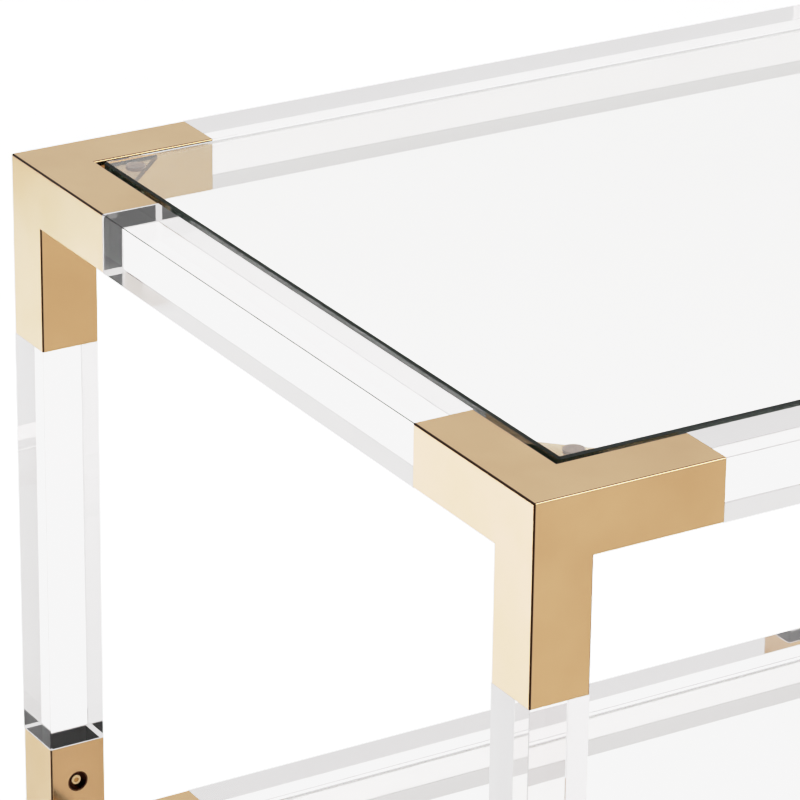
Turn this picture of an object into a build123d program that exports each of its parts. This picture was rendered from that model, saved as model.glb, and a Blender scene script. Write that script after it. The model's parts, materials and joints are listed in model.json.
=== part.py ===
from build123d import *
import os

# A three-tier bar cart: square clear bars joined by polished metal corner brackets,
# glass shelves dropped inside the frames, and four swivel casters.
# Millimetres. Origin on the floor under the middle of the cart, X along its length,
# Y from the front to the back, Z up.

# ---- driving dimensions ----
LENGTH = 837.0  # outside of the frame along X
DEPTH = 470.6  # outside of the frame along Y
UPPER_BAY = 372.0  # top face of the top rails down to the top face of the middle rails
LOWER_BAY = 356.0  # the same, middle rails to bottom rails
CASTER_HEIGHT = 75.0  # floor to the underside of the bottom brackets
BAR = 30.0  # square section of the clear bars and of the bracket arms

# corner brackets, arm lengths counted from the outer corner
RAIL_ARM = 94.5
LEG_ARM = 93.6  # the down arm of the top bracket
MIDDLE_LEG_ARM = 90.8  # up and down arms of the lower brackets, their corner cube included
BRACKET_WALL = 1.2
BRACKET_EDGE = 1.0  # rounding of the long outer edges
LINER = 0.4  # dark sleeve between the socket and the bar's tenon
LINER_SETBACK = 0.6  # how far the sleeve stops short of the socket's mouth

# clear bars
TENON_GAP = 0.1  # air between tenon and sleeve, and between shoulder and bracket
TENON_LENGTH = 60.0
BAR_EDGE = 0.35  # polished chamfer along the bar

# fixing screws, one for each arm, sunk in a small cup
SCREW_FROM_MOUTH = 21.0
CUP_RADIUS = 5.5
CUP_DEPTH = 5.5
CUP_WALL = 0.6
CUP_FLOOR = 0.8
CUP_SINK = 0.15  # cup rim below the bracket's face
CUP_CLEARANCE = 0.05
POCKET_CLEARANCE = 0.2  # round the cup, in the bar and in the sleeve
POCKET_EXTRA = 0.1  # below the cup
HEAD_RADIUS = 2.75
HEAD_HEIGHT = 3.0
HEAD_EDGE = 0.4
HEX_ACROSS_FLATS = 2.5
HEX_DEPTH = 1.6
SHANK_RADIUS = 1.5
SHANK_LENGTH = 14.0
SHANK_CLEARANCE = 0.1  # radial, in the cup
THREAD_CLEARANCE = 0.05  # radial, in the bar
HOLE_EXTRA = 0.5  # beyond the end of a screw or a stem

# glass shelves on clear bumpers on the brackets' tabs
GLASS = 5.0
GLASS_PROUD = 0.6  # top face above the top face of the rails
GLASS_GAP = 3.0  # between the glass and the frame around it
GLASS_EDGE = 1.0  # bevel of the polished rim
GLASS_CORNER = 1.5
TAB_LEG = 34.5
TAB_THICKNESS = 3.0
BUMPER_RADIUS = 5.0
BUMPER_HEIGHT = 1.0
BUMPER_EDGE = 0.3
BUMPER_INSET_X = 16.0  # bumper centre from the inner walls
BUMPER_INSET_Y = 11.5

# casters
WHEEL_RADIUS = 25.0
WHEEL_WIDTH = 18.0
HUB_RADIUS = 17.5
HUB_BOSS = 8.0
HUB_WEB = 7.0
HUB_RIM = 2.5
HUB_SETBACK = 1.0  # rim to the face of the tyre
TYRE_EDGE = 3.0
AXLE_RADIUS = 4.0
AXLE_HEAD_RADIUS = 6.5
AXLE_HEAD_EDGE = 1.0
RUNNING_GAP = 0.05  # radial, for the axle and the swivel stem
TRAIL = 18.0  # axle behind the swivel axis
FORK_INSIDE = 20.0
FORK_PLATE = 2.5
FORK_EYE_RADIUS = 7.5  # plate round the axle
CROWN_LOW = 54.0
CROWN_HIGH = 57.0
CROWN_FRONT = -12.0
CROWN_BACK = 13.0
RACE_RADIUS = 13.5
RACE_HIGH = 69.2
RACE_EDGE = 2.5
STEM_RADIUS = 5.0
STEM_NUT_ACROSS_FLATS = 17.0
STEM_NUT_LOW = 70.0
STEM_ENTRY = 20.0  # stem length inside the bottom bracket
RIVET_RADIUS = 7.0
RIVET_LOW = 50.6
RIVET_HIGH = 53.6
RIVET_EDGE = 1.0

# brake levers on the two left casters
BRAKE_PIVOT = (24.0, 54.0)  # behind the swivel axis, above the floor
BRAKE_PIN_RADIUS = 1.5
BRAKE_EYE_RADIUS = 4.2  # fork plate round the pin
BRAKE_HUB_RADIUS = 3.4
BRAKE_WIDTH = 18.6
BRAKE_NOSE = ((28.6, 51.35), 1.2)  # centre and radius of the shoe that meets the tyre
BRAKE_ELBOW = ((32.0, 57.5), 1.6)
BRAKE_TOE = ((50.0, 61.0), 1.4)

TOP_Z = CASTER_HEIGHT + BAR + LOWER_BAY + UPPER_BAY
TIERS = {"top": TOP_Z, "middle": TOP_Z - UPPER_BAY, "bottom": TOP_Z - UPPER_BAY - LOWER_BAY}
CORNERS = {
    "front_left": (-1, -1),
    "front_right": (1, -1),
    "back_left": (-1, 1),
    "back_right": (1, 1),
}
SOCKET = BAR - 2 * BRACKET_WALL
SLEEVE_BORE = SOCKET - 2 * LINER
TENON = SLEEVE_BORE - 2 * TENON_GAP
MIDDLE_RISE = MIDDLE_LEG_ARM - BAR  # how far the lower brackets' up arms stand above the rails

# arms of each tier's bracket: direction, length from the outer corner, and the face
# that carries the fixing screw
ALONG_X, ALONG_Y, UP, DOWN = (1, 0, 0), (0, 1, 0), (0, 0, 1), (0, 0, -1)
RAIL_ARMS = [(ALONG_X, RAIL_ARM, DOWN), (ALONG_Y, RAIL_ARM, DOWN)]
ARMS = {
    "top": RAIL_ARMS + [(DOWN, LEG_ARM, ALONG_X)],
    "middle": RAIL_ARMS + [(DOWN, MIDDLE_LEG_ARM, ALONG_Y), (UP, MIDDLE_LEG_ARM, ALONG_Y)],
    "bottom": RAIL_ARMS + [(UP, MIDDLE_LEG_ARM, ALONG_Y)],
}


# ---- helpers ----
def block(low, high):
    """A box between two opposite corners."""
    sides = [b - a for a, b in zip(low, high)]
    centre = [(a + b) / 2 for a, b in zip(low, high)]
    return Pos(*centre) * Box(*sides)


def prism(direction, start, end, side):
    """A square prism about a corner cube's centre line, from start to end along direction,
    both counted from the cube's centre."""
    run = Pos(0, 0, (start + end) / 2) * Box(side, side, end - start)
    return Plane(origin=(0, 0, 0), z_dir=direction) * run


def in_corner(part, corner, z):
    """Moves a piece built about the front left corner cube's centre to any corner."""
    sign_x, sign_y = CORNERS[corner]
    if sign_x > 0:
        part = part.mirror(Plane.YZ)
    if sign_y > 0:
        part = part.mirror(Plane.XZ)
    x = sign_x * (LENGTH - BAR) / 2
    y = sign_y * (DEPTH - BAR) / 2
    return Pos(x, y, z) * part


def screw_plane(direction, length, face):
    """The seat of an arm's fixing screw: on the arm's face, Z pointing into the bar.
    Lengths count from the cube's centre."""
    along = length - BAR / 2 - SCREW_FROM_MOUTH
    origin = [along * d + BAR / 2 * f for d, f in zip(direction, face)]
    return Plane(origin=origin, z_dir=[-f for f in face])


def drill(radius, start, end):
    """A cylinder along Z from start to end, as on a screw's seat."""
    return Pos(0, 0, (start + end) / 2) * Cylinder(radius, end - start)


def group(parts):
    return Compound(children=parts) if len(parts) > 1 else parts[0]


nodes = {}


# ---- corner brackets ----
def bracket_edges(shape, arms):
    """The long outer edges, without the mouths of the arms and the inside corners."""
    half = BAR / 2
    picked = []
    for edge in shape.edges():
        centre = edge.center()
        at_mouth = False
        inside = False
        for direction, length, _ in arms:
            reach = sum(c * d for c, d in zip(centre, direction))
            at_mouth = at_mouth or abs(reach - (length - half)) < 0.01
        for i, (first, _, _) in enumerate(arms):
            for second, _, _ in arms[i + 1 :]:
                reach = [sum(c * d for c, d in zip(centre, way)) for way in (first, second)]
                opposite = any(a * b < 0 for a, b in zip(first, second))
                inside = inside or (not opposite and all(abs(r - half) < 0.01 for r in reach))
        if not at_mouth and not inside:
            picked.append(edge)
    return picked


def bracket(tier):
    """A hollow-armed corner, built about its corner cube's centre."""
    half = BAR / 2
    arms = ARMS[tier]
    body = Box(BAR, BAR, BAR)
    for direction, length, _ in arms:
        body += prism(direction, 0, length - half, BAR)
    body = fillet(bracket_edges(body, arms), BRACKET_EDGE)
    for direction, length, _ in arms:
        body -= prism(direction, half, length, SOCKET)
    tab_top = half + GLASS_PROUD - GLASS - BUMPER_HEIGHT
    corner = half - BRACKET_WALL / 2
    outline = Polyline(
        (corner, corner), (half + TAB_LEG, corner), (corner, half + TAB_LEG), close=True
    )
    body += Pos(0, 0, tab_top - TAB_THICKNESS) * extrude(make_face(outline), TAB_THICKNESS)
    for arm in arms:
        body -= screw_plane(*arm) * drill(CUP_RADIUS + CUP_CLEARANCE, -BRACKET_WALL, 1.2 * BRACKET_WALL)
    if tier == "bottom":
        body -= drill(STEM_RADIUS + CUP_CLEARANCE, -half, STEM_ENTRY + HOLE_EXTRA - half)
    return body


def socket_liners(tier):
    half = BAR / 2
    sleeves = []
    for direction, length, face in ARMS[tier]:
        sleeve = prism(direction, half, length - half - LINER_SETBACK, SOCKET)
        sleeve -= prism(direction, 0, length, SLEEVE_BORE)
        pocket = drill(CUP_RADIUS + POCKET_CLEARANCE, 0, CUP_DEPTH)
        sleeve -= screw_plane(direction, length, face) * pocket
        sleeves.append(sleeve)
    return sleeves


def screw_cup():
    cup = drill(CUP_RADIUS, CUP_SINK, CUP_DEPTH)
    cup -= drill(CUP_RADIUS - CUP_WALL, 0, CUP_DEPTH - CUP_FLOOR)
    return cup - drill(SHANK_RADIUS + SHANK_CLEARANCE, 0, CUP_DEPTH + HOLE_EXTRA)


def cap_screw():
    seat = CUP_DEPTH - CUP_FLOOR
    head = drill(HEAD_RADIUS, seat - HEAD_HEIGHT, seat)
    head = fillet(head.edges().group_by(Axis.Z)[0], HEAD_EDGE)
    hexagon = RegularPolygon(HEX_ACROSS_FLATS / 2, 6, major_radius=False)
    head -= Pos(0, 0, seat - HEAD_HEIGHT) * extrude(hexagon, HEX_DEPTH)
    return head + drill(SHANK_RADIUS, seat, seat + SHANK_LENGTH)


def bumper():
    puck = Cylinder(BUMPER_RADIUS, BUMPER_HEIGHT)
    puck = fillet(puck.edges().group_by(Axis.Z)[-1], BUMPER_EDGE)
    half = BAR / 2
    middle = half + GLASS_PROUD - GLASS - BUMPER_HEIGHT / 2
    return Pos(half + BUMPER_INSET_X, half + BUMPER_INSET_Y, middle) * puck


liners, cups, screws, bumpers = [], [], [], []
for tier, top in TIERS.items():
    shape = bracket(tier)
    for corner in CORNERS:
        centre = top - BAR / 2
        nodes[f"{tier}_bracket_{corner}"] = in_corner(shape, corner, centre)
        bumpers.append(in_corner(bumper(), corner, centre))
        liners += [in_corner(sleeve, corner, centre) for sleeve in socket_liners(tier)]
        for arm in ARMS[tier]:
            cups.append(in_corner(screw_plane(*arm) * screw_cup(), corner, centre))
            screws.append(in_corner(screw_plane(*arm) * cap_screw(), corner, centre))
nodes["socket_liners"] = group(liners)
nodes["screw_cups"] = group(cups)
nodes["bracket_screws"] = group(screws)
nodes["shelf_bumpers"] = group(bumpers)


# ---- clear bars ----
def bar(direction, length, low_screw, high_screw):
    """A bar with a tenon at each end, about its own middle. length is shoulder to shoulder,
    and each screw is (distance from the shoulder, the way its head faces)."""
    shaft = Box(BAR, BAR, length)
    shaft = chamfer(shaft.edges().filter_by(Axis.Z), BAR_EDGE)
    core = Box(TENON, TENON, length + 2 * TENON_LENGTH)
    body = Plane(origin=(0, 0, 0), z_dir=direction) * (shaft + core)
    for end, (inset, face) in ((-1, low_screw), (1, high_screw)):
        along = end * (length / 2 + inset)
        origin = [along * d + BAR / 2 * f for d, f in zip(direction, face)]
        seat = Plane(origin=origin, z_dir=[-f for f in face])
        body -= seat * drill(CUP_RADIUS + POCKET_CLEARANCE, 0, CUP_DEPTH + POCKET_EXTRA)
        hole_end = CUP_DEPTH - CUP_FLOOR + SHANK_LENGTH + HOLE_EXTRA
        body -= seat * drill(SHANK_RADIUS + THREAD_CLEARANCE, 0, hole_end)
    return body


SCREW_INSET = SCREW_FROM_MOUTH + TENON_GAP  # from the shoulder
RAIL_SCREW = (SCREW_INSET, DOWN)
for tier, top in TIERS.items():
    z = top - BAR / 2
    shoulder = 2 * (RAIL_ARM + TENON_GAP)
    long_rail = bar(ALONG_X, LENGTH - shoulder, RAIL_SCREW, RAIL_SCREW)
    short_rail = bar(ALONG_Y, DEPTH - shoulder, RAIL_SCREW, RAIL_SCREW)
    for side, sign in (("front", -1), ("back", 1)):
        nodes[f"{tier}_rail_{side}"] = Pos(0, sign * (DEPTH - BAR) / 2, z) * long_rail
    for side, sign in (("left", -1), ("right", 1)):
        nodes[f"{tier}_rail_{side}"] = Pos(sign * (LENGTH - BAR) / 2, 0, z) * short_rail

LEG_SPANS = {
    "upper": (TIERS["middle"] + MIDDLE_RISE, TOP_Z - LEG_ARM, ALONG_Y, ALONG_X),
    "lower": (TIERS["bottom"] + MIDDLE_RISE, TIERS["middle"] - MIDDLE_LEG_ARM, ALONG_Y, ALONG_Y),
}
for storey, (low, high, low_face, high_face) in LEG_SPANS.items():
    length = high - low - 2 * TENON_GAP
    leg = bar(UP, length, (SCREW_INSET, low_face), (SCREW_INSET, high_face))
    for corner in CORNERS:
        nodes[f"{storey}_leg_{corner}"] = in_corner(leg, corner, (low + high) / 2)


# ---- glass shelves ----
def shelf_glass():
    inset = 2 * (BAR + GLASS_GAP)
    pane = Box(LENGTH - inset, DEPTH - inset, GLASS)
    pane = fillet(pane.edges().filter_by(Axis.Z), GLASS_CORNER)
    rims = pane.edges().group_by(Axis.Z)
    return chamfer(rims[0] + rims[-1], GLASS_EDGE)


for tier, top in TIERS.items():
    nodes[f"{tier}_shelf_glass"] = Pos(0, 0, top + GLASS_PROUD - GLASS / 2) * shelf_glass()


# ---- casters, built about the swivel axis with the wheel trailing along +X ----
def across(radius, width, x, z):
    """A cylinder along Y, centred on the caster."""
    return Pos(x, 0, z) * Rot(90, 0, 0) * Cylinder(radius, width)


def side_hull(circles, width, y=0.0):
    """A plate in the XZ plane, the hull of circles given as ((x, z), radius)."""
    rims = [Pos(x, z) * Edge.make_circle(radius) for (x, z), radius in circles]
    plate = extrude(make_hull(rims), width / 2, both=True)
    return Pos(0, y, 0) * Rot(90, 0, 0) * plate


def caster_stem():
    stem = drill(STEM_RADIUS, RIVET_LOW, CASTER_HEIGHT + STEM_ENTRY)
    hexagon = RegularPolygon(STEM_NUT_ACROSS_FLATS / 2, 6, major_radius=False)
    nut = extrude(hexagon, CASTER_HEIGHT - STEM_NUT_LOW)
    stem += Pos(0, 0, STEM_NUT_LOW) * nut
    rivet = drill(RIVET_RADIUS, RIVET_LOW, RIVET_HIGH)
    return stem + fillet(rivet.edges().group_by(Axis.Z)[0], RIVET_EDGE)


def caster_fork(with_brake):
    leg_y = (FORK_INSIDE + FORK_PLATE) / 2
    crown_mid = (CROWN_LOW + CROWN_HIGH) / 2
    crown_half = (CROWN_HIGH - CROWN_LOW) / 2
    outline = [((TRAIL, WHEEL_RADIUS), FORK_EYE_RADIUS), ((CROWN_FRONT, crown_mid), crown_half)]
    crown_end = ((CROWN_BACK, crown_mid), crown_half)
    outline.append((BRAKE_PIVOT, BRAKE_EYE_RADIUS) if with_brake else crown_end)
    fork = side_hull(outline, FORK_PLATE, leg_y) + side_hull(outline, FORK_PLATE, -leg_y)
    width = FORK_INSIDE / 2 + FORK_PLATE
    fork += block((CROWN_FRONT, -width, CROWN_LOW), (CROWN_BACK, width, CROWN_HIGH))
    race = drill(RACE_RADIUS, CROWN_HIGH, RACE_HIGH)
    fork += fillet(race.edges().group_by(Axis.Z)[-1], RACE_EDGE)
    fork -= drill(STEM_RADIUS + RUNNING_GAP, 0, CASTER_HEIGHT)
    fork -= across(AXLE_RADIUS, 2 * BAR, TRAIL, WHEEL_RADIUS)
    if with_brake:
        fork -= across(BRAKE_PIN_RADIUS, 2 * BAR, *BRAKE_PIVOT)
    return fork


def caster_axle():
    width = FORK_INSIDE + 2 * FORK_PLATE
    axle = across(AXLE_RADIUS, width, TRAIL, WHEEL_RADIUS)
    head_width = (BAR - width) / 2
    for sign in (-1, 1):
        head = Cylinder(AXLE_HEAD_RADIUS, head_width)
        head = fillet(head.edges().group_by(Axis.Z)[-1], AXLE_HEAD_EDGE)
        y = sign * (width + head_width) / 2
        axle += Pos(TRAIL, y, WHEEL_RADIUS) * Rot(-90 * sign, 0, 0) * head
    return axle


def wheel_hub():
    hub = Cylinder(HUB_RADIUS, HUB_WEB) + Cylinder(HUB_BOSS, WHEEL_WIDTH)
    rim = Cylinder(HUB_RADIUS, WHEEL_WIDTH - 2 * HUB_SETBACK)
    rim -= Cylinder(HUB_RADIUS - HUB_RIM, WHEEL_WIDTH)
    hub = hub + rim - Cylinder(AXLE_RADIUS + RUNNING_GAP, WHEEL_WIDTH)
    return Pos(TRAIL, 0, WHEEL_RADIUS) * Rot(90, 0, 0) * hub


def wheel_tyre():
    tyre = Cylinder(WHEEL_RADIUS, WHEEL_WIDTH)
    tyre = fillet(tyre.edges(), TYRE_EDGE) - Cylinder(HUB_RADIUS, WHEEL_WIDTH)
    return Pos(TRAIL, 0, WHEEL_RADIUS) * Rot(90, 0, 0) * tyre


def brake_lever():
    pivot = (BRAKE_PIVOT, BRAKE_HUB_RADIUS)
    lever = side_hull([pivot, BRAKE_NOSE], BRAKE_WIDTH)
    lever += side_hull([pivot, BRAKE_ELBOW], BRAKE_WIDTH)
    lever += side_hull([BRAKE_ELBOW, BRAKE_TOE], BRAKE_WIDTH)
    return lever - across(BRAKE_PIN_RADIUS + RUNNING_GAP, BAR, *BRAKE_PIVOT)


def brake_pin():
    return across(BRAKE_PIN_RADIUS, FORK_INSIDE + 2 * FORK_PLATE, *BRAKE_PIVOT)


nodes["caster_stems"] = group([in_corner(caster_stem(), corner, 0) for corner in CORNERS])
for corner in CORNERS:
    braked = corner.endswith("left")
    nodes[f"caster_fork_{corner}"] = in_corner(caster_fork(braked), corner, 0)
    nodes[f"caster_axle_{corner}"] = in_corner(caster_axle(), corner, 0)
    nodes[f"wheel_hub_{corner}"] = in_corner(wheel_hub(), corner, 0)
    nodes[f"wheel_tyre_{corner}"] = in_corner(wheel_tyre(), corner, 0)
    if braked:
        nodes[f"brake_lever_{corner}"] = in_corner(brake_lever(), corner, 0)
        nodes[f"brake_pin_{corner}"] = in_corner(brake_pin(), corner, 0)

os.makedirs("parts", exist_ok=True)
for name, shape in nodes.items():
    export_step(shape, f"parts/{name}.step")
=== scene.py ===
import json
import math

import bpy
from mathutils import Matrix, Vector

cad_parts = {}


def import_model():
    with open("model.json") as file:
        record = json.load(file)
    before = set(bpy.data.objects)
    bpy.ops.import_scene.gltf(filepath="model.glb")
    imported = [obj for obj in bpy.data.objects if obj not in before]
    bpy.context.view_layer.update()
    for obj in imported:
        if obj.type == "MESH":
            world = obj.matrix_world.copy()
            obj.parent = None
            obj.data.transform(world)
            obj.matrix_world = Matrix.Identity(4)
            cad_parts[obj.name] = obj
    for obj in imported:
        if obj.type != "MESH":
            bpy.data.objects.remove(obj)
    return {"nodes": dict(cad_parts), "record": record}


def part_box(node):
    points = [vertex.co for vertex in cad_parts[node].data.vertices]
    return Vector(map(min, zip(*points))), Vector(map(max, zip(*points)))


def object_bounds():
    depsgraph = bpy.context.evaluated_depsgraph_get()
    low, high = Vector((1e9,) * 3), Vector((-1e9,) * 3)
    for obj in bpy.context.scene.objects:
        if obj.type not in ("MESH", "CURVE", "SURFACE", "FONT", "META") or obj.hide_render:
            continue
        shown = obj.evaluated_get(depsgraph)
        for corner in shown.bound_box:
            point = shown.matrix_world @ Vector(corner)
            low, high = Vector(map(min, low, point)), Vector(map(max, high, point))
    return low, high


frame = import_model()
CAD_LOW, CAD_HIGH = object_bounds()

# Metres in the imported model's own frame, and degrees, unless a comment says otherwise.

# ---- view: a long lens on the front left corner of the top frame ----
VIEW_AZIMUTH = -31.29  # 0 looks along +Y
VIEW_ELEVATION = 23.21
VIEW_ROLL = 0.71
LENS = 213.35  # mm
SENSOR_WIDTH = 36.0  # mm
CLIP_START, CLIP_END = 0.05, 200.0
CORNER_BRACKET = "top_bracket_front_left"
CAMERA_FROM_CORNER = Vector((-0.9558, -1.46673, 0.79551))  # from that bracket's outer top corner

# ---- floor, sky and film ----
FLOOR_SIZE = 80.0
FLOOR_DROP = 0.0005  # below the tyres
FLOOR_DARK, FLOOR_LIGHT = (0.88, 0.88, 0.88), (0.92, 0.92, 0.92)
# brightness of the surroundings by sine of the elevation, from the horizon to the zenith
SKY = ((0.0, 0.9), (0.3, 0.92), (0.6, 0.95), (1.0, 1.05))
# film response, scene brightness to picture brightness: straight, then flatter, then a step to white
FILM_CURVE = (
    (0.0, 0.0),
    (0.3, 0.3),
    (0.6, 0.6),
    (0.86, 0.74),
    (1.18, 0.82),
    (1.7, 0.915),
    (2.1, 0.932),
    (2.45, 1.0),
)
ALL_CHANNELS = 3  # the curve that acts on red, green and blue together
CLEAR_BOUNCES = 24  # surfaces that light may cross, with bars and panes one behind another
MIRROR_BOUNCES = 8

# ---- colours ----
GOLD_DARK, GOLD_LIGHT = (0.59, 0.378, 0.185), (0.67, 0.435, 0.23)
END_FACE_REFLECTION = (1.0, 1.03, 1.2)  # painted reflection: colour of metal faces across X, over that of faces across Y, paler as if mirroring the bright floor
TOP_FACE_REFLECTION = (0.99, 1.05, 1.14)  # the same painted reflection for faces across Z
# painted reflection: the dark brown of rounded bracket edges that mirror a dark room
EDGE_DARK_REFLECTION = (0.03, 0.013, 0.006)
ACRYLIC_DARK, ACRYLIC_LIGHT = (0.935, 0.905, 0.905), (0.965, 0.935, 0.935)
# painted shade: grey that darkens light through the acrylic's chamfers
EDGE_SHADE_GREY = (0.52, 0.50, 0.505)
GLASS_DARK, GLASS_LIGHT = (0.965, 0.93, 0.93), (0.985, 0.955, 0.95)
GLASS_GREEN = (0.35, 0.78, 0.55, 1)  # tint of the light that has gone through a depth of glass
# painted shade: near black colours for the glass rim's bevel and edge face
RIM_BEVEL_SHADE = (0.004, 0.008, 0.006)
RIM_FACE_SHADE = (0.03, 0.05, 0.036)
# the pad's own milky tone with a painted warm reflection of the gold around it
VINYL_TONE_AND_REFLECTION_DARK, VINYL_TONE_AND_REFLECTION_LIGHT = (0.50, 0.33, 0.25), (0.62, 0.42, 0.33)
STEEL_DARK, STEEL_LIGHT = (0.45, 0.44, 0.43), (0.62, 0.61, 0.59)

# ---- other properties ----
ACRYLIC_IOR = 1.49
GLASS_IOR = 1.52
GLASS_DENSITY = 9.0  # of the green tint
VINYL_IOR = 1.45
BEVEL_UPWARD = 0.707  # the upward part of a 45 degree bevel's direction
HAZE_TO_GRAIN = 0.6  # how fine a moulding's changes of gloss are, over its grain
BUMPER_GAP = 0.00012


# ---- material nodes ----
def link(tree, start, end):
    tree.links.new(start, end)


def new_material(name):
    """An empty node material with a Principled shader, and its pieces."""
    material = bpy.data.materials.new(name)
    material.use_nodes = True
    tree = material.node_tree
    tree.nodes.clear()
    output = tree.nodes.new("ShaderNodeOutputMaterial")
    shader = tree.nodes.new("ShaderNodeBsdfPrincipled")
    link(tree, shader.outputs["BSDF"], output.inputs["Surface"])
    return material, tree, shader


def noise(tree, scale, detail=3.0, roughness=0.5, stretch=(1, 1, 1)):
    """Noise over the object's own coordinates. A scale of 100 has features about 10 mm wide."""
    place = tree.nodes.new("ShaderNodeTexCoord")
    mapping = tree.nodes.new("ShaderNodeMapping")
    mapping.inputs["Scale"].default_value = stretch
    texture = tree.nodes.new("ShaderNodeTexNoise")
    texture.inputs["Scale"].default_value = scale
    texture.inputs["Detail"].default_value = detail
    texture.inputs["Roughness"].default_value = roughness
    link(tree, place.outputs["Object"], mapping.inputs["Vector"])
    link(tree, mapping.outputs["Vector"], texture.inputs["Vector"])
    return texture.outputs["Fac"]


def spread(tree, value, low, high, start=0.3, end=0.7):
    """Maps a value from start..end to low..high. Most noise lies between the two defaults."""
    node = tree.nodes.new("ShaderNodeMapRange")
    node.inputs["From Min"].default_value = start
    node.inputs["From Max"].default_value = end
    node.inputs["To Min"].default_value = low
    node.inputs["To Max"].default_value = high
    link(tree, value, node.inputs["Value"])
    return node.outputs["Result"]


def two_tone(tree, value, dark, light, start=0.35, end=0.65):
    """A colour that goes from dark to light as value goes from start to end."""
    ramp = tree.nodes.new("ShaderNodeValToRGB")
    ramp.color_ramp.elements[0].position = start
    ramp.color_ramp.elements[0].color = (*dark, 1)
    ramp.color_ramp.elements[1].position = end
    ramp.color_ramp.elements[1].color = (*light, 1)
    link(tree, value, ramp.inputs["Fac"])
    return ramp.outputs["Color"]


def bump(tree, shader, height, strength, distance):
    node = tree.nodes.new("ShaderNodeBump")
    node.inputs["Strength"].default_value = strength
    node.inputs["Distance"].default_value = distance
    link(tree, height, node.inputs["Height"])
    link(tree, node.outputs["Normal"], shader.inputs["Normal"])


def calculate(tree, operation, *values):
    """A Math node over sockets and plain numbers."""
    node = tree.nodes.new("ShaderNodeMath")
    node.operation = operation
    for socket, value in zip(node.inputs, values):
        if isinstance(value, bpy.types.NodeSocket):
            link(tree, value, socket)
        else:
            socket.default_value = value
    return node.outputs["Value"]


def blend_colour(tree, amount, first, second):
    """first where amount is 0, second where it is 1."""
    node = tree.nodes.new("ShaderNodeMix")
    node.data_type = "RGBA"
    link(tree, amount, node.inputs["Factor"])
    for socket, colour in ((node.inputs["A"], first), (node.inputs["B"], second)):
        if isinstance(colour, bpy.types.NodeSocket):
            link(tree, colour, socket)
        else:
            socket.default_value = (*colour, 1)
    return node.outputs["Result"]


def object_normal(tree):
    """The three parts of the surface direction, in the object's own axes."""
    place = tree.nodes.new("ShaderNodeTexCoord")
    split = tree.nodes.new("ShaderNodeSeparateXYZ")
    link(tree, place.outputs["Normal"], split.inputs["Vector"])
    return [split.outputs[axis] for axis in "XYZ"]


def rounded_edge(tree, normal):
    """1 on rounded or chamfered edges between faces square to the axes, 0 on those faces."""
    x, y, z = [calculate(tree, "ABSOLUTE", part) for part in normal]
    largest = calculate(tree, "MAXIMUM", calculate(tree, "MAXIMUM", x, y), z)
    tilt = calculate(tree, "SUBTRACT", 1.0, largest)
    return spread(tree, tilt, low=0.0, high=1.0, start=0.004, end=0.05)


# ---- materials ----
def paler(colour, amounts):
    return tuple(part * amount for part, amount in zip(colour, amounts))


def painted_edge_reflection(tree, normal):
    """Mask of a painted dark reflection: 1 on a bracket's upright and top edges, 0 on its faces and
    lower edges.
    """
    x, y, z = normal
    sideways = calculate(tree, "ABSOLUTE", x)
    above = calculate(tree, "SUBTRACT", z, calculate(tree, "ABSOLUTE", y))
    line = calculate(tree, "MAXIMUM", sideways, above)
    not_below = spread(tree, z, low=0.0, high=1.0, start=-0.25, end=-0.05)
    line = calculate(tree, "MULTIPLY", line, not_below)
    line = spread(tree, line, low=0.0, high=1.0, start=0.1, end=0.35)
    return calculate(tree, "MULTIPLY", line, rounded_edge(tree, normal))


def polished_gold(name, dark, light, smooth, dull, lined=False):
    """Plated metal, paler across X and Z as a painted reflection. lined paints a dark reflection on its
    upright and top edges.
    """
    material, tree, shader = new_material(name)
    shader.inputs["Metallic"].default_value = 1.0
    cloud = noise(tree, scale=14.0, detail=4.0)
    tone = two_tone(tree, cloud, dark, light)
    # painted reflection: faces across X and Z get paler copies of the tone
    end_reflection_tone = two_tone(tree, cloud, paler(dark, END_FACE_REFLECTION), paler(light, END_FACE_REFLECTION))
    top_reflection_tone = two_tone(tree, cloud, paler(dark, TOP_FACE_REFLECTION), paler(light, TOP_FACE_REFLECTION))
    normal = object_normal(tree)
    x, _, z = normal
    tone = blend_colour(tree, calculate(tree, "ABSOLUTE", x), tone, end_reflection_tone)
    tone = blend_colour(tree, calculate(tree, "ABSOLUTE", z), tone, top_reflection_tone)
    # painted reflection: rounded upright and top edges darkened to brown
    if lined:
        tone = blend_colour(tree, painted_edge_reflection(tree, normal), tone, EDGE_DARK_REFLECTION)
    link(tree, tone, shader.inputs["Base Color"])
    haze = noise(tree, scale=55.0, detail=5.0, roughness=0.6)
    link(tree, spread(tree, haze, low=smooth, high=dull), shader.inputs["Roughness"])
    polish = noise(tree, scale=900.0, detail=2.0, stretch=(1.0, 1.0, 0.15))
    bump(tree, shader, polish, strength=0.05, distance=0.00002)
    return material


def clear_acrylic():
    """Clear polished plastic, with painted shade, a grey line, along its chamfers."""
    material, tree, shader = new_material("clear_acrylic")
    shader.inputs["Transmission Weight"].default_value = 1.0
    shader.inputs["IOR"].default_value = ACRYLIC_IOR
    cloud = noise(tree, scale=6.0, detail=2.0)
    tone = two_tone(tree, cloud, ACRYLIC_DARK, ACRYLIC_LIGHT)
    edge = rounded_edge(tree, object_normal(tree))
    link(tree, blend_colour(tree, edge, tone, EDGE_SHADE_GREY), shader.inputs["Base Color"])
    haze = noise(tree, scale=160.0, detail=4.0)
    link(tree, spread(tree, haze, low=0.0, high=0.012), shader.inputs["Roughness"])
    wave = noise(tree, scale=30.0, detail=1.0)
    bump(tree, shader, wave, strength=0.04, distance=0.0002)
    return material


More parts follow.
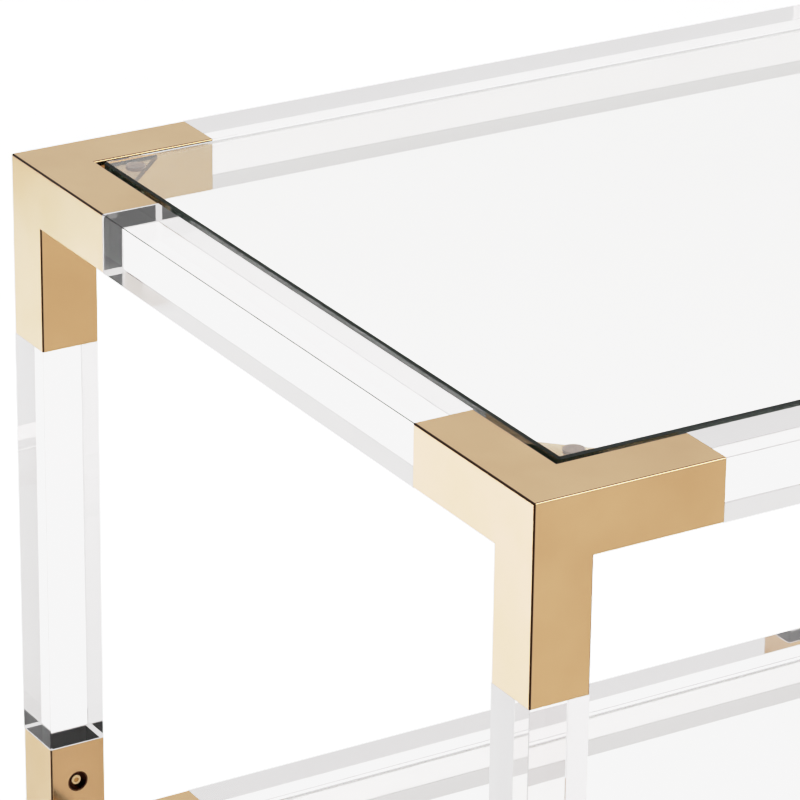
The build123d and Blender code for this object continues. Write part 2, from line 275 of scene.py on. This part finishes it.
def shelf_glass():
    """Clear glass, green in its depth. Its rim has painted shade, dark from outside, and is clear seen
    through the pane.
    """
    material, tree, shader = new_material("shelf_glass")
    shader.inputs["IOR"].default_value = GLASS_IOR
    cloud = noise(tree, scale=4.0, detail=2.0)
    tone = two_tone(tree, cloud, GLASS_DARK, GLASS_LIGHT)

    # painted shade on the rim, darker and less clear only where seen from outside
    upward = calculate(tree, "ABSOLUTE", object_normal(tree)[2])
    rim = spread(tree, upward, low=1.0, high=0.0, start=0.75, end=0.98)
    inside = tree.nodes.new("ShaderNodeNewGeometry").outputs["Backfacing"]
    rim = calculate(tree, "MULTIPLY", rim, calculate(tree, "SUBTRACT", 1.0, inside))
    face_to_bevel = spread(tree, upward, low=0.0, high=1.0, start=0.1, end=0.6)
    rim_shade_tone = blend_colour(tree, face_to_bevel, RIM_FACE_SHADE, RIM_BEVEL_SHADE)
    link(tree, blend_colour(tree, rim, tone, rim_shade_tone), shader.inputs["Base Color"])
    clearness = spread(tree, rim, low=1.0, high=0.3, start=0.0, end=1.0)
    link(tree, clearness, shader.inputs["Transmission Weight"])

    from_bevel = calculate(tree, "ABSOLUTE", calculate(tree, "SUBTRACT", upward, BEVEL_UPWARD))
    bevel = spread(tree, from_bevel, low=1.0, high=0.0, start=0.1, end=0.25)
    gloss = spread(tree, bevel, low=0.5, high=0.05, start=0.0, end=1.0)
    link(tree, gloss, shader.inputs["Specular IOR Level"])
    haze = spread(tree, noise(tree, scale=90.0, detail=4.0), low=0.0, high=0.008)
    ground = spread(tree, bevel, low=0.0, high=0.45, start=0.0, end=1.0)
    link(tree, calculate(tree, "ADD", haze, ground), shader.inputs["Roughness"])
    wave = noise(tree, scale=5.0, detail=1.0)
    bump(tree, shader, wave, strength=0.02, distance=0.0005)

    absorb = tree.nodes.new("ShaderNodeVolumeAbsorption")
    absorb.inputs["Color"].default_value = GLASS_GREEN
    absorb.inputs["Density"].default_value = GLASS_DENSITY
    output = next(node for node in tree.nodes if node.type == "OUTPUT_MATERIAL")
    link(tree, absorb.outputs["Volume"], output.inputs["Volume"])
    return material


def clear_vinyl():
    """A milky clear pad: its own milky tone, with a painted warm reflection of the metal around it."""
    material, tree, shader = new_material("clear_bumper")
    shader.inputs["Transmission Weight"].default_value = 0.35
    shader.inputs["IOR"].default_value = VINYL_IOR
    cloud = noise(tree, scale=300.0)
    link(tree, two_tone(tree, cloud, VINYL_TONE_AND_REFLECTION_DARK, VINYL_TONE_AND_REFLECTION_LIGHT), shader.inputs["Base Color"])
    haze = noise(tree, scale=900.0)
    link(tree, spread(tree, haze, low=0.3, high=0.42), shader.inputs["Roughness"])
    bump(tree, shader, noise(tree, scale=400.0), strength=0.05, distance=0.00002)
    return material


def moulded(name, dark, light, smooth, dull, grain, depth):
    """Moulded plastic or rubber. grain is its fine grain's noise scale, and depth its height."""
    material, tree, shader = new_material(name)
    cloud = noise(tree, scale=60.0, detail=4.0)
    link(tree, two_tone(tree, cloud, dark, light), shader.inputs["Base Color"])
    haze = noise(tree, scale=grain * HAZE_TO_GRAIN)
    link(tree, spread(tree, haze, low=smooth, high=dull), shader.inputs["Roughness"])
    bump(tree, shader, noise(tree, scale=grain, detail=4.0), strength=0.4, distance=depth)
    return material


def satin_steel():
    """Bare steel with a fine brushing along Y."""
    material, tree, shader = new_material("caster_steel")
    shader.inputs["Metallic"].default_value = 1.0
    cloud = noise(tree, scale=80.0, detail=4.0)
    link(tree, two_tone(tree, cloud, STEEL_DARK, STEEL_LIGHT), shader.inputs["Base Color"])
    haze = noise(tree, scale=400.0)
    link(tree, spread(tree, haze, low=0.22, high=0.4), shader.inputs["Roughness"])
    brushing = noise(tree, scale=1500.0, detail=2.0, stretch=(1, 0.1, 1))
    bump(tree, shader, brushing, strength=0.15, distance=0.00003)
    return material


PLATED = {
    "polished_gold": dict(dark=GOLD_DARK, light=GOLD_LIGHT, smooth=0.10, dull=0.17, lined=True),
    "fastener_gold": dict(dark=(0.66, 0.46, 0.24), light=(0.76, 0.56, 0.32), smooth=0.16, dull=0.28),
    "caster_gold": dict(dark=(0.74, 0.53, 0.29), light=(0.81, 0.60, 0.35), smooth=0.14, dull=0.24),
    # painted shade: the screw cups' gold is painted nearly black-brown for the shade deep in their
    # recesses
    "shaded_cup_gold": dict(
        dark=(0.085, 0.03, 0.016),
        light=(0.16, 0.06, 0.03),
        smooth=0.2,
        dull=0.34,
        lined=True,
    ),
}
MOULDED = {
    "liner_black": dict(
        dark=(0.012, 0.011, 0.012),
        light=(0.03, 0.028, 0.03),
        smooth=0.5,
        dull=0.7,
        grain=900.0,
        depth=0.00005,
    ),
    "hub_plastic": dict(
        dark=(0.03, 0.03, 0.032),
        light=(0.055, 0.055, 0.058),
        smooth=0.25,
        dull=0.4,
        grain=1200.0,
        depth=0.00004,
    ),
    "tyre": dict(
        dark=(0.035, 0.035, 0.036),
        light=(0.07, 0.07, 0.07),
        smooth=0.55,
        dull=0.8,
        grain=700.0,
        depth=0.0001,
    ),
    "brake_plastic": dict(
        dark=(0.02, 0.02, 0.022),
        light=(0.045, 0.045, 0.048),
        smooth=0.3,
        dull=0.5,
        grain=1000.0,
        depth=0.00005,
    ),
}
MATERIALS = {
    "clear_acrylic": clear_acrylic(),
    "shelf_glass": shelf_glass(),
    "clear_bumper": clear_vinyl(),
    "caster_steel": satin_steel(),
}
MATERIALS.update({name: polished_gold(name, **look) for name, look in PLATED.items()})
MATERIALS.update({name: moulded(name, **look) for name, look in MOULDED.items()})
OWN_MATERIAL = {"screw_cups": "shaded_cup_gold"}  # a node that doesn't wear its slot's material, but gold with painted shade

for part in frame["record"]["subparts"]:
    node = frame["nodes"][part["node"]]
    node.data.materials.clear()
    node.data.materials.append(MATERIALS[OWN_MATERIAL.get(part["node"], part["material_slot"])])

# the bumpers are drawn a hair smaller, so that their tops don't share a face with the glass
gap = frame["nodes"]["shelf_bumpers"].modifiers.new("hair_gap", "DISPLACE")
gap.mid_level = 0.0
gap.strength = -BUMPER_GAP


# ---- studio ----
def floor():
    """A wide pale square under the tyres."""
    material, tree, shader = new_material("floor")
    cloud = noise(tree, scale=0.8, detail=2.0)
    link(tree, two_tone(tree, cloud, FLOOR_DARK, FLOOR_LIGHT), shader.inputs["Base Color"])
    shader.inputs["Roughness"].default_value = 0.9
    shader.inputs["Specular IOR Level"].default_value = 0.1
    half = FLOOR_SIZE / 2
    z = CAD_LOW.z - FLOOR_DROP
    corners = [(-half, -half, z), (half, -half, z), (half, half, z), (-half, half, z)]
    mesh = bpy.data.meshes.new("studio_floor")
    mesh.from_pydata(corners, [], [(0, 1, 2, 3)])
    mesh.materials.append(material)
    item = bpy.data.objects.new("studio_floor", mesh)
    bpy.context.scene.collection.objects.link(item)


def world():
    """An even white studio, slightly brighter overhead."""
    scene_world = bpy.data.worlds.new("studio")
    bpy.context.scene.world = scene_world
    scene_world.use_nodes = True
    tree = scene_world.node_tree
    direction = tree.nodes.new("ShaderNodeTexCoord")
    split = tree.nodes.new("ShaderNodeSeparateXYZ")
    ramp = tree.nodes.new("ShaderNodeValToRGB")
    stops = ramp.color_ramp.elements
    while len(stops) < len(SKY):
        stops.new(1.0)
    for stop, (sine, level) in zip(stops, SKY):
        stop.position = sine
        stop.color = (level, level, level, 1)
    link(tree, direction.outputs["Generated"], split.inputs["Vector"])
    link(tree, split.outputs["Z"], ramp.inputs["Fac"])
    link(tree, ramp.outputs["Color"], tree.nodes["Background"].inputs["Color"])


def facing(direction):
    """The turn that points a light or a camera along direction, upright."""
    return direction.to_track_quat("-Z", "Y")


def softbox(name, place, aim, size, power, beam, mirrored=False):
    """A rectangular light, power in watts. mirrored says whether shiny surfaces reflect it."""
    data = bpy.data.lights.new(name, "AREA")
    data.shape = "RECTANGLE"
    data.size, data.size_y = size
    data.energy = power
    data.spread = math.radians(beam)
    item = bpy.data.objects.new(name, data)
    item.location = place
    item.rotation_euler = facing(Vector(aim) - Vector(place)).to_euler()
    item.visible_camera = False
    item.visible_transmission = False
    item.visible_glossy = mirrored
    bpy.context.scene.collection.objects.link(item)


def lights():
    """Two narrow beams straight down, and a soft light from the front right.

    back_light whitens the floor behind the cart, and left_light the floor that the left faces mirror.
    """
    softbox(
        "back_light",
        place=(0.8, 1.78, 2.6),
        aim=(0.8, 1.78, 0.0),
        size=(2.7, 2.9),
        power=44,
        beam=22,
    )
    softbox(
        "left_light",
        place=(-1.68, 1.28, 2.6),
        aim=(-1.68, 1.28, 0.0),
        size=(1.15, 1.6),
        power=15,
        beam=20,
    )
    softbox(
        "front_light",
        place=(1.6, -1.4, 3.2),
        aim=(0.0, 0.0, 0.6),
        size=(1.4, 1.4),
        power=11,
        beam=120,
        mirrored=True,
    )


def camera():
    data = bpy.data.cameras.new("camera")
    data.lens = LENS
    data.sensor_width = SENSOR_WIDTH
    data.clip_start, data.clip_end = CLIP_START, CLIP_END
    item = bpy.data.objects.new("camera", data)
    azimuth, elevation = math.radians(VIEW_AZIMUTH), math.radians(VIEW_ELEVATION)
    back = Vector(
        (
            math.sin(azimuth) * math.cos(elevation),
            -math.cos(azimuth) * math.cos(elevation),
            math.sin(elevation),
        )
    )
    roll = Matrix.Rotation(math.radians(VIEW_ROLL), 3, "Z")
    turn = facing(-back).to_matrix() @ roll
    corner = Vector((CAD_LOW.x, CAD_LOW.y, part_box(CORNER_BRACKET)[1].z))
    item.matrix_world = Matrix.Translation(corner + CAMERA_FROM_CORNER) @ turn.to_4x4()
    bpy.context.scene.collection.objects.link(item)
    bpy.context.scene.camera = item


def film(scene):
    """Sets how the picture answers to brightness, and how far light is followed."""
    scene.view_settings.view_transform = "Standard"
    scene.view_settings.use_curve_mapping = True
    response = scene.view_settings.curve_mapping
    response.clip_max_x = FILM_CURVE[-1][0]
    curve = response.curves[ALL_CHANNELS]
    while len(curve.points) < len(FILM_CURVE):
        curve.points.new(1.0, 1.0)
    for point, place in zip(curve.points, FILM_CURVE):
        point.location = place
    response.update()
    scene.cycles.max_bounces = CLEAR_BOUNCES
    scene.cycles.transmission_bounces = CLEAR_BOUNCES
    scene.cycles.glossy_bounces = MIRROR_BOUNCES
    scene.cycles.caustics_reflective = True
    scene.cycles.caustics_refractive = True


floor()
world()
camera()
lights()
film(bpy.context.scene)
